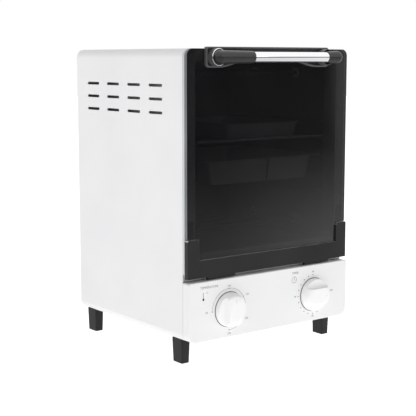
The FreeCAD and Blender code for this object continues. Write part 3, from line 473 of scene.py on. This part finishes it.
for finish_name, members in wardrobe.items():
    for node in members:
        part = nodes[node]
        if not part.data.materials:
            part.data.materials.append(None)
        part.material_slots[0].material = bpy.data.materials[finish_name]
        dressed += 1
print("dressed", dressed, "of", len(nodes))

# %% [markdown]
# ## Turning a bmesh into a piece
# Every piece goes through the same last steps: merge doubles, turn the faces outwards, shade it
# smooth except across real corners, and tell the frame which body it moves with. A weighted
# normal modifier keeps large flats flat when their edges are softened.

# %% Finish a piece
merge_distance = 1e-7
corner_angle = 40


def make_piece(name, bm, finishes, body, stands_for=()):
    """A named object from a bmesh, riding on a body."""
    bmesh.ops.remove_doubles(bm, verts=bm.verts, dist=merge_distance)
    bmesh.ops.recalc_face_normals(bm, faces=bm.faces)
    mesh = bpy.data.meshes.new(name)
    bm.to_mesh(mesh)
    bm.free()
    for finish in finishes:
        mesh.materials.append(bpy.data.materials[finish])
    mesh.polygons.foreach_set("use_smooth", [True] * len(mesh.polygons))
    mesh.set_sharp_from_angle(angle=math.radians(corner_angle))
    piece = bpy.data.objects.new(name, mesh)
    bpy.context.scene.collection.objects.link(piece)
    flats = piece.modifiers.new("flat_faces", "WEIGHTED_NORMAL")
    flats.keep_sharp = True
    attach(piece, body)
    if stands_for:
        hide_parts(*stands_for)
    print(name, "faces", len(mesh.polygons))


print("corners sharper than", corner_angle, "degrees stay sharp")

# %% [markdown]
# ## Softened sheet metal
# Real edges are never knife sharp, and the thin bright line along a rounded edge is what makes
# sheet steel look real. The shell could be drawn again from flat strips. Its outline and vents
# are already right in the engineering part, though, so it is quicker and safer to start from a
# merged copy: flat triangles are dissolved into whole faces, and each sharp edge gets a bevel.

# %% The shell
copy_merge_distance = 2e-6
flat_angle = 0.3
sharp_angle = 30


def merged_copy(node):
    """A copy of a part with its doubled points merged and its flat faces whole."""
    bm = bmesh.new()
    bm.from_mesh(nodes[node].data)
    bmesh.ops.remove_doubles(bm, verts=bm.verts, dist=copy_merge_distance)
    bmesh.ops.dissolve_limit(bm, angle_limit=math.radians(flat_angle), verts=bm.verts, edges=bm.edges)
    return bm


def softened(node, width, segments=2):
    """A merged copy of a part with a bevel on its sharp edges. Width is in millimetres."""
    bm = merged_copy(node)
    edges = [edge for edge in bm.edges
             if edge.is_manifold and edge.calc_face_angle(0) > math.radians(sharp_angle)]
    bmesh.ops.bevel(bm, geom=edges, offset=width / 1000, offset_type="OFFSET", affect="EDGES",
                    segments=segments, profile=0.5, clamp_overlap=True, material=-1)
    return bm


make_piece("cabinet_shell", softened("outer_shell", 0.3), ["white_paint"], "cabinet",
           ["outer_shell"])

# %% [markdown]
# The flange behind the glass is pale grey. The mouth inside it takes the chamber's darker brushed
# finish as painted shade, and the apron below the door takes white paint as painted light in the
# shade under the rail. All three are one folded sheet, so it stays one piece, and each of its
# faces picks its finish by where it is and which way it points.

# %% Front flange and back cover
mouth_half_width = 0.1074
apron_top = at(0, 0, 79).z
mouth_floor = apron_top + 0.01
front_facing = 0.99
bm = softened("front_frame", 0.3)
for face in bm.faces:
    in_mouth = all(abs(vert.co.x) < mouth_half_width and vert.co.z > mouth_floor for vert in face.verts)
    # Painted shade: the mouth's inner faces take the darker brushed finish.
    if in_mouth and abs(face.normal.y) < front_facing:
        face.material_index = 1
    # Painted light: the apron faces below the door take white paint, lighter than the flange.
    elif face.calc_center_median().z < apron_top:
        face.material_index = 2
make_piece("front_flange", bm, ["frame_grey", "brushed_steel", "white_paint"], "cabinet",
           ["front_frame"])
make_piece("rear_cover", softened("back_cover", 0.25), ["back_white"], "cabinet",
           ["back_cover"])

# %% [markdown]
# ## The control panel
# The panel is a shallow cap with a broad roll along its front edges. The roll is already in the
# engineering part, so only the edges that are still sharp need a small bevel.

# %% Panel
make_piece("panel_cap", softened("control_panel", 0.4), ["panel_white"], "cabinet",
           ["control_panel"])
panel_front_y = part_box("control_panel")[0][1]
print("panel face at y", round(panel_front_y, 4))

# %% [markdown]
# ## Printed scales
# Dials are screen printed: a thin layer of ink on the face. A picture on the panel would do, but
# it would need its own coordinates and go soft close up. Small meshes stay sharp: a ring comes
# from spinning a short radial line, dots are capped circles, and numbers are text turned into
# mesh. Each print has a hair's thickness, so that it is a closed shape just proud of the panel.

# %% Ink helpers
ink_height = 0.00003
ink_gap = 0.00002
dot_segments = 16


def raise_ink(bm, flat_faces):
    """Give flat print a thickness towards the viewer."""
    grown = bmesh.ops.extrude_face_region(bm, geom=flat_faces)["geom"]
    moved = [item for item in grown if isinstance(item, bmesh.types.BMVert)]
    bmesh.ops.translate(bm, verts=moved, vec=(0, -ink_height, 0))


def on_panel(x, height):
    """A place just in front of the panel's face."""
    spot = at(x, 0, height)
    spot.y = panel_front_y - ink_gap
    return spot


def clockwise(centre_x, centre_height, radius, degrees):
    """A place on a dial, with the angle counted clockwise from the top."""
    angle = math.radians(degrees)
    return on_panel(centre_x + radius * math.sin(angle), centre_height + radius * math.cos(angle))


def ink_dot(bm, spot, radius):
    """A round dot of ink."""
    turn = Matrix.Translation(spot) @ Matrix.Rotation(math.radians(90), 4, "X")
    made = bmesh.ops.create_circle(bm, cap_ends=True, radius=radius / 1000, segments=dot_segments,
                                   matrix=turn)
    raise_ink(bm, list({face for vert in made["verts"] for face in vert.link_faces}))


def ink_arc(bm, centre_x, centre_height, radius, width, start, sweep, steps):
    """A curved line of ink that runs clockwise."""
    centre = on_panel(centre_x, centre_height)
    ends = [clockwise(centre_x, centre_height, radius + side * width / 2, start) for side in (-1, 1)]
    first = [bm.verts.new(end) for end in ends]
    line = bm.edges.new(first)
    before = set(bm.faces)
    bmesh.ops.spin(bm, geom=first + [line], cent=centre, axis=(0, 1, 0), angle=math.radians(sweep),
                   steps=steps, use_merge=False, use_duplicate=False)
    raise_ink(bm, [face for face in bm.faces if face not in before])


print("ink stands", (ink_gap + ink_height) * 1000, "mm proud")

# %% [markdown]
# Straight strokes are one four-cornered face. Lettering starts as a text object, because Blender's
# font holds the outlines already. It is made a mesh first and only then turned upright and moved,
# so that its place ends up in its points.

# %% Bars and lettering
text_resolution = 3


def ink_bar(bm, start, end, width):
    """A straight line of ink between two places."""
    along = (end - start).normalized()
    across = Vector((-along.z, 0, along.x)) * width / 2000
    corners = [bm.verts.new(spot) for spot in (start - across, end - across, end + across, start + across)]
    raise_ink(bm, [bm.faces.new(corners)])


def ink_text(bm, words, x, height, size):
    """A word or a number, centred, with its capitals about 0.7 of the size."""
    curve = bpy.data.curves.new("ink_text", "FONT")
    curve.body = words
    curve.size = size / 1000
    curve.align_x = "CENTER"
    curve.align_y = "CENTER"
    curve.extrude = ink_height / 2
    curve.resolution_u = text_resolution
    holder = bpy.data.objects.new("ink_text", curve)
    bpy.context.scene.collection.objects.link(holder)
    bpy.context.view_layer.update()
    flat = bpy.data.meshes.new_from_object(holder)
    bpy.data.objects.remove(holder)
    count = len(bm.verts)
    bm.from_mesh(flat)
    bm.verts.ensure_lookup_table()
    spot = on_panel(x, height) + Vector((0, -ink_height / 2, 0))
    stand = Matrix.Translation(spot) @ Matrix.Rotation(math.radians(90), 4, "X")
    bmesh.ops.transform(bm, matrix=stand, verts=bm.verts[count:])


print("text resolution", text_resolution)

# %% [markdown]
# The left dial sets the heat. Its scale is a thin line that starts on the left and runs clockwise
# over the top to the bottom, with a dot at each number. The dial's centre is read from the shaft,
# so the scale can't drift away from the knob.

# %% Temperature scale
number_size, title_size, degree_size = 3.3, 3.9, 3.0
scale_radius, scale_line, dot_radius = 24.5, 0.35, 0.62
temperature_x = sum(corner[0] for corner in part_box("thermostat_shaft")) / 2 * 1000
timer_x = sum(corner[0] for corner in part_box("timer_shaft")) / 2 * 1000
dial_height = (sum(corner[2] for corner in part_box("timer_shaft")) / 2 - shell_low.z) * 1000
bm = bmesh.new()
ink_arc(bm, temperature_x, dial_height, scale_radius, scale_line, 270, 270, 90)
make_piece("temperature_ring", bm, ["ink_grey"], "cabinet")
bm = bmesh.new()
for degrees in (270, 0, 60, 120, 180):
    ink_dot(bm, clockwise(temperature_x, dial_height, scale_radius, degrees), dot_radius)
make_piece("temperature_dots", bm, ["ink_dark"], "cabinet")
bm = bmesh.new()
for words, x, height in (("50", -98.0, 33.3), ("100", -65.5, 60.6), ("150", -38.6, 47.3),
                         ("200", -39.4, 18.9), ("250", -65.5, 4.6)):
    ink_text(bm, words, x, height, number_size)
ink_text(bm, "TEMPERATURE", -94.2, 62.6, title_size)
ink_text(bm, "°C", -97.6, 56.4, degree_size)
make_piece("temperature_numbers", bm, ["ink_grey"], "cabinet")

# %% [markdown]
# The right dial is a clockwork timer. It counts minutes down to OFF, and a row of dots replaces
# the line. Dots that share one mesh cost less than separate objects.

# %% Timer scale
timer_dot_circle, first_dot, dot_spacing, dot_count = 24.2, 126, 18, 14
bm = bmesh.new()
for step in range(dot_count):
    degrees = first_dot + dot_spacing * step
    ink_dot(bm, clockwise(timer_x, dial_height, timer_dot_circle, degrees), dot_radius)
make_piece("timer_dots", bm, ["ink_dark"], "cabinet")
bm = bmesh.new()
for words, x, height in (("60", 65.5, 61.4), ("40", 36.6, 33.6), ("20", 65.5, 6.0), ("OFF", 96.6, 33.8)):
    ink_text(bm, words, x, height, number_size)
ink_text(bm, "TIMER", 36.5, 62.8, title_size)
make_piece("timer_numbers", bm, ["ink_grey"], "cabinet")

# %% [markdown]
# A dark ring is painted on the panel just outside each knob. It is painted shade for the gap and
# shadow under the knob's edge, and it makes that edge stand out on white. It could be a torus, but
# ink is flat, so the same arc as the scale's goes all the way round.

# %% Painted shade rings round the knobs
knob_shadow_radius, knob_shadow_line = 20.3, 1.0
# Painted shade: a dark ink ring where the knob's shadow gap falls on the panel.
bm = bmesh.new()
for centre_x in (temperature_x, timer_x):
    ink_arc(bm, centre_x, dial_height, knob_shadow_radius, knob_shadow_line, 0, 360, 96)
make_piece("knob_shadow_rings", bm, ["ink_grey"], "cabinet")

# %% [markdown]
# A small thermometer and a small clock say what each dial is for. The thermometer is a dot with a
# stem, and the clock is a ring with two hands, so the helpers above draw both.

# %% Thermometer and clock marks
bulb_radius, stem_line = 1.35, 0.55
clock_radius, clock_line = 3.7, 0.45
clock_x, clock_height = 34.8, 54.8
bm = bmesh.new()
ink_dot(bm, on_panel(-102.6, 49.2), bulb_radius)
ink_bar(bm, on_panel(-102.6, 49.8), on_panel(-102.6, 57.2), stem_line)
make_piece("thermometer_mark", bm, ["ink_dark"], "cabinet")
bm = bmesh.new()
ink_arc(bm, clock_x, clock_height, clock_radius, clock_line, 0, 360, 32)
for hand_x, hand_height in ((34.8, 57.4), (36.8, 54.0)):
    ink_bar(bm, on_panel(clock_x, clock_height), on_panel(hand_x, hand_height), clock_line)
make_piece("clock_mark", bm, ["ink_grey"], "cabinet")

# %% [markdown]
# ## Knobs
# Each knob is a moulded cap with a broad grip left standing between two scooped sides. That shape
# is in the engineering part. Mouldings have rounder edges than folded steel, so the bevel is wider
# and has more segments.

# %% Knobs
knob_edge, knob_segments = 0.8, 3
for knob, dial in (("temperature", "temperature_dial"), ("timer", "timer_dial")):
    make_piece(knob + "_cap", softened(knob + "_knob", knob_edge, knob_segments), ["knob_white"], dial,
               [knob + "_knob"])

# %% [markdown]
# ## The door
# The glass is one sheet with a polished bevel all round, and its edge faces take the paler ground
# finish, which also paints a highlight along the edge. The rail under it, its two uprights and the
# stop blocks are a single black moulding. Its faces that point up along the top take a plated
# finish, a painted highlight along the ledge, which is only a second finish on those faces.

# %% Glass and rail
glass_edge, rail_edge, rail_segments = 0.7, 0.6, 3
ledge_height = at(0, 0, 93.2).z
flat_on, upward = 0.95, 0.3
bm = softened("door_glass", glass_edge)
# Edge faces take the paler ground finish, lightened as a painted highlight.
for face in bm.faces:
    face.material_index = 0 if abs(face.normal.y) > flat_on else 1
make_piece("door_pane", bm, ["door_smoke", "ground_edge_and_highlight"], "door", ["door_glass"])
bm = softened("door_rail", rail_edge, rail_segments)
# Upward faces along the top take the plated finish as a painted highlight.
for face in bm.faces:
    ledge_highlight = face.normal.z > upward and face.calc_center_median().z > ledge_height
    face.material_index = 1 if ledge_highlight else 0
make_piece("bottom_rail", bm, ["moulding_black", "zinc_steel"], "door", ["door_rail"])

# %% [markdown]
# ## The handle
# A chromed tube runs between two black sleeves of different length. All three are round, and a
# stock cylinder would have neither bore nor rolled edge. On a lathe the cutter follows one profile
# while the work spins, and a bmesh spin does the same: draw the profile once, turn it a full
# circle, and merge the seam. The tube's profile goes along the outside and back through the bore.

# %% Chrome tube
def turned(profile, centre, axis, steps=72):
    """Spin (along, radius) points in millimetres about an axis through a centre."""
    bm = bmesh.new()
    axis = Vector(axis)
    side = axis.orthogonal().normalized()
    points = [bm.verts.new(centre + (axis * along + side * radius) / 1000) for along, radius in profile]
    edges = [bm.edges.new(pair) for pair in zip(points, points[1:])]
    bmesh.ops.spin(bm, geom=points + edges, cent=centre, axis=axis, angle=math.tau, steps=steps,
                   use_merge=True, use_duplicate=False)
    bmesh.ops.remove_doubles(bm, verts=bm.verts, dist=1e-6)
    return bm


tube_wall, tube_edge = 1.0, 0.2
tube_low, tube_high = [Vector(corner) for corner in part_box("handle_tube")]
tube_centre = (tube_low + tube_high) / 2
tube_half = (tube_high.x - tube_low.x) * 500
tube_radius = (tube_high.z - tube_low.z) * 500
bore_radius, edge_radius = tube_radius - tube_wall, tube_radius - tube_edge
profile = [(-tube_half, bore_radius), (-tube_half, edge_radius), (-tube_half + tube_edge, tube_radius),
           (tube_half - tube_edge, tube_radius), (tube_half, edge_radius), (tube_half, bore_radius),
           (-tube_half, bore_radius)]
make_piece("chrome_tube", turned(profile, tube_centre, (1, 0, 0), 96), ["chrome_bright"], "door",
           ["handle_tube"])

# %% [markdown]
# Each sleeve starts with a small rolled lip where the tube goes in, swells a little along its
# length and ends in a dome. One profile holds all of that and the blind bore inside, so the
# sleeve is a single closed skin.

# %% Sleeves
mouth_radius = 6.8
rolled_lip = [(0.0, -0.5), (0.15, -0.15), (0.6, 0.0)]
solid_end = 4
dome_steps = 12


def sleeve(name, side, node):
    """A tapered sleeve with a rolled open end and a domed closed end."""
    low, high = [Vector(corner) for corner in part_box(node)]
    centre = Vector(((high.x if side < 0 else low.x), tube_centre.y, tube_centre.z))
    length = (high.x - low.x) * 1000
    dome = (high.z - low.z) * 500
    bore_end = length - dome - solid_end
    profile = [(bore_end, 0), (bore_end, tube_radius), (0.0, tube_radius)]
    profile += [(along, mouth_radius + outward) for along, outward in rolled_lip]
    profile.append((length - dome, dome))
    for step in range(1, dome_steps + 1):
        angle = math.radians(90 * step / dome_steps)
        profile.append((length - dome + dome * math.sin(angle), max(dome * math.cos(angle), 0)))
    make_piece(name, turned(profile, centre, (side, 0, 0)), ["sleeve_black"], "door", [node])


sleeve("left_sleeve", -1, "handle_sleeve_left")
sleeve("right_sleeve", 1, "handle_sleeve_right")

# %% [markdown]
# ## The mount
# The mount is a dished moulding over the top edge of the glass. Its outline is straight along the
# top, hangs down in a lobe at each end and rises to a low arch between them. A bevel on a copy of
# the part would leave long thin faces round the arch, and an inset would fold over them, so the
# outline is drawn afresh. One half is worked out and the other is its reflection.

# %% Mount outline
mount_low, mount_high = [Vector(corner) * 1000 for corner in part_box("handle_mount")]
mount_top = mount_high.z - shell_low.z * 1000
mount_centre = (mount_low.x + mount_high.x) / 2
mount_half = (mount_high.x - mount_low.x) / 2
lobe_bottom, lobe_flat, lobe_radius = 309.0, 19.0, 5.0
arch_height, arch_run, top_radius = 315.6, 38.0, 3.0
arch_steps, corner_steps = 12, 6


def quarter(centre, radius, start):
    """Points on a quarter circle, counted anticlockwise from a start angle in degrees."""
    turns = [math.radians(start + 90 * step / corner_steps) for step in range(corner_steps + 1)]
    return [(centre[0] + radius * math.cos(turn), centre[1] + radius * math.sin(turn)) for turn in turns]


def mount_half_outline():
    """Across and height from the arch's end, round one lobe, to the top."""
    arch_end = mount_half - lobe_flat - arch_run
    points = []
    for step in range(arch_steps + 1):
        share = step / arch_steps
        ease = share * share * (3 - 2 * share)
        points.append((arch_end + arch_run * share, arch_height + (lobe_bottom - arch_height) * ease))
    points += quarter((mount_half - lobe_radius, lobe_bottom + lobe_radius), lobe_radius, 270)
    points += quarter((mount_half - top_radius, mount_top - top_radius), top_radius, 0)
    return points


right_side = mount_half_outline()
left_side = [(-across, height) for across, height in reversed(right_side)]
mount_outline = [(mount_centre + across, height) for across, height in right_side + left_side]
print("mount outline", len(mount_outline), "points")

# %% [markdown]
# The sleeves end in round sockets on the mount. A socket is a turned wall with a rolled lip and a
# sunk face, and the sunk face takes the darker black as painted shade. The left one has a plated
# lip, which stands in for the highlight along the socket's rim and shows as a bright arc. Behind
# the plate, a plain block hooks over the top edge of the glass.

# %% Socket and block helpers
lip_radius, socket_depth, lip_steps, socket_steps = 0.55, 3, 6, 64


def add_block(bm, xs, depths, heights):
    """A box between two values of x, of depth and of height, added to a bmesh."""
    low, high = [at(*corner) for corner in zip(xs, depths, heights)]
    size = high - low
    place = Matrix.Translation((low + high) / 2) @ Matrix.Diagonal((size.x, size.y, size.z, 1))
    bmesh.ops.create_cube(bm, size=1, matrix=place)


def add_boss(bm, x, height, radius, front, back, lip_finish):
    """A round socket for a sleeve's end: a wall, a rolled lip with its own finish and a sunk face."""
    wall = [(back, 0), (back, radius), (front + lip_radius, radius)]
    turns = [math.radians(180 * step / lip_steps) for step in range(1, lip_steps + 1)]
    bead = [(front + lip_radius * (1 - math.sin(turn)), radius - lip_radius * (1 - math.cos(turn)))
            for turn in turns]
    floor_points = [(front + socket_depth, radius - 2 * lip_radius), (front + socket_depth, 0)]
    before = set(bm.faces)
    points = [bm.verts.new(at(x, depth, height + across)) for depth, across in wall + bead + floor_points]
    edges = [bm.edges.new(pair) for pair in zip(points, points[1:])]
    bmesh.ops.spin(bm, geom=points + edges, cent=at(x, back, height), axis=(0, 1, 0), angle=math.tau,
                   steps=socket_steps, use_merge=True, use_duplicate=False)
    lip_back = at(x, front + lip_radius + 0.01, height).y
    for face in set(bm.faces) - before:
        spot = face.calc_center_median()
        across = math.hypot(spot.x - x / 1000, spot.z - at(x, 0, height).z) * 1000
        # The sunk face takes the darker black: painted shade inside the socket.
        if spot.y < lip_back:
            face.material_index = lip_finish
        elif across < radius - 1.5 * lip_radius:
            face.material_index = 1


print("lip radius", lip_radius, "socket depth", socket_depth)

# %% [markdown]
# The outline is filled once, pushed out to the plate's thickness and rolled over at the front.
# Two insets then make the rim and set the face inside it back, which is what gives the dish. The
# rim and sides keep the lighter black as a painted highlight, and the sunk dish takes the rail's
# darker black as painted shade.

# %% Mount
glass_front, glass_back, plate_front = -7.6, -3.9, -11.5
rim_round, rim_width, dish_wall, dish_depth = 0.0012, 0.0006, 0.0005, 0.0016
boss_radius, boss_front, left_boss_inset, handle_height = 9.6, -20.0, 11.6, 320.5
hook_inset, hook_bottom, hook_top = 3, 330.15, mount_top - 0.2
bm = bmesh.new()
corners = [bm.verts.new(at(x, glass_front, height)) for x, height in mount_outline]
grown = bmesh.ops.extrude_face_region(bm, geom=[bm.faces.new(corners)])["geom"]
front_verts = [item for item in grown if isinstance(item, bmesh.types.BMVert)]
bmesh.ops.translate(bm, verts=front_verts, vec=(0, (plate_front - glass_front) / 1000, 0))
front_face = [item for item in grown if isinstance(item, bmesh.types.BMFace)]
bmesh.ops.bevel(bm, geom=list(front_face[0].edges), offset=rim_round, offset_type="OFFSET", affect="EDGES",
                segments=4, profile=0.5, clamp_overlap=True, material=-1)
bm.normal_update()
dish = max((face for face in bm.faces if face.normal.y < -front_facing), key=lambda face: face.calc_area())
bmesh.ops.inset_region(bm, faces=[dish], thickness=rim_width, depth=0)
bmesh.ops.inset_region(bm, faces=[dish], thickness=dish_wall, depth=-dish_depth)
# Painted shade: the sunk dish takes the rail's darker black.
dish.material_index = 1
hook_ends = (mount_low.x + hook_inset, mount_high.x - hook_inset)
add_block(bm, hook_ends, (glass_front - 0.5, glass_back), (hook_bottom, hook_top))
for x, lip_finish in ((mount_low.x + left_boss_inset, 2), (mount_high.x - boss_radius, 0)):
    add_boss(bm, x, handle_height, boss_radius, boss_front, plate_front + 1, lip_finish)
# Lighter black as painted highlight on the rim, darker black as painted shade in the dish.
make_piece("arched_mount", bm, ["mount_highlight_black", "moulding_black", "chrome_bright"], "door",
           ["handle_mount"])

# %% [markdown]
# ## The feet
# Each foot is a square post drawn in slightly towards the floor, with rounded corners and a
# shallow recess in its sole. It starts from a cube of the part's own size, because a cube is easy
# to taper: only its four lower corners are scaled, about the post's centre.

# %% Feet
foot_taper, foot_edge, sole_border, sole_recess = 0.0016, 0.0009, 0.0012, 0.0003


def post(name, node):
    """A tapering square post with a recessed sole."""
    low, high = [Vector(corner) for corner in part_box(node)]
    centre = (low + high) / 2
    size = high - low
    bm = bmesh.new()
    box = Matrix.Translation(centre) @ Matrix.Diagonal((size.x, size.y, size.z, 1))
    bmesh.ops.create_cube(bm, size=1, matrix=box)
    bottom = [vert for vert in bm.verts if vert.co.z < centre.z]
    shrink = ((size.x - foot_taper) / size.x, (size.y - foot_taper) / size.y, 1)
    bmesh.ops.scale(bm, verts=bottom, vec=shrink, space=Matrix.Translation(-centre))
    bmesh.ops.bevel(bm, geom=list(bm.edges), offset=foot_edge, offset_type="OFFSET", affect="EDGES",
                    segments=3, profile=0.5, clamp_overlap=True, material=-1)
    sole = [face for face in bm.faces if face.normal.z < -front_facing]
    bmesh.ops.inset_region(bm, faces=sole, thickness=sole_border, depth=0)
    bmesh.ops.inset_region(bm, faces=sole, thickness=sole_recess, depth=-sole_recess)
    make_piece(name, bm, ["post_black"], "cabinet", [node])


for corner_name in ("front_left", "front_right", "rear_left", "rear_right"):
    post("post_" + corner_name, "foot_" + corner_name)

# %% [markdown]
# ## Inside the chamber
# The pan is pressed from soft aluminium sheet and the tray from thin stainless steel, so both get
# a small bevel on their rims, which catches light through the dark glass. The pan's front wall has
# an upright joint a little right of its middle. The bead is in the engineering part, and a dark
# finish on its narrow faces makes it show.

# %% Pan and tray
sheet_edge = 0.2
seam_x, seam_half, seam_reach, seam_largest = 0.007, 0.0015, 0.008, 0.0001
bm = softened("drip_pan", sheet_edge)
pan_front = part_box("drip_pan")[0][1]
for face in bm.faces:
    spot = face.calc_center_median()
    on_seam = abs(spot.x - seam_x) < seam_half and spot.y < pan_front + seam_reach
    face.material_index = 1 if on_seam and face.calc_area() < seam_largest else 0
make_piece("pan", bm, ["pan_metal", "burnt_steel"], "pan", ["drip_pan"])
make_piece("tray", softened("instrument_tray", sheet_edge), ["tray_steel"], "rack",
           ["instrument_tray"])
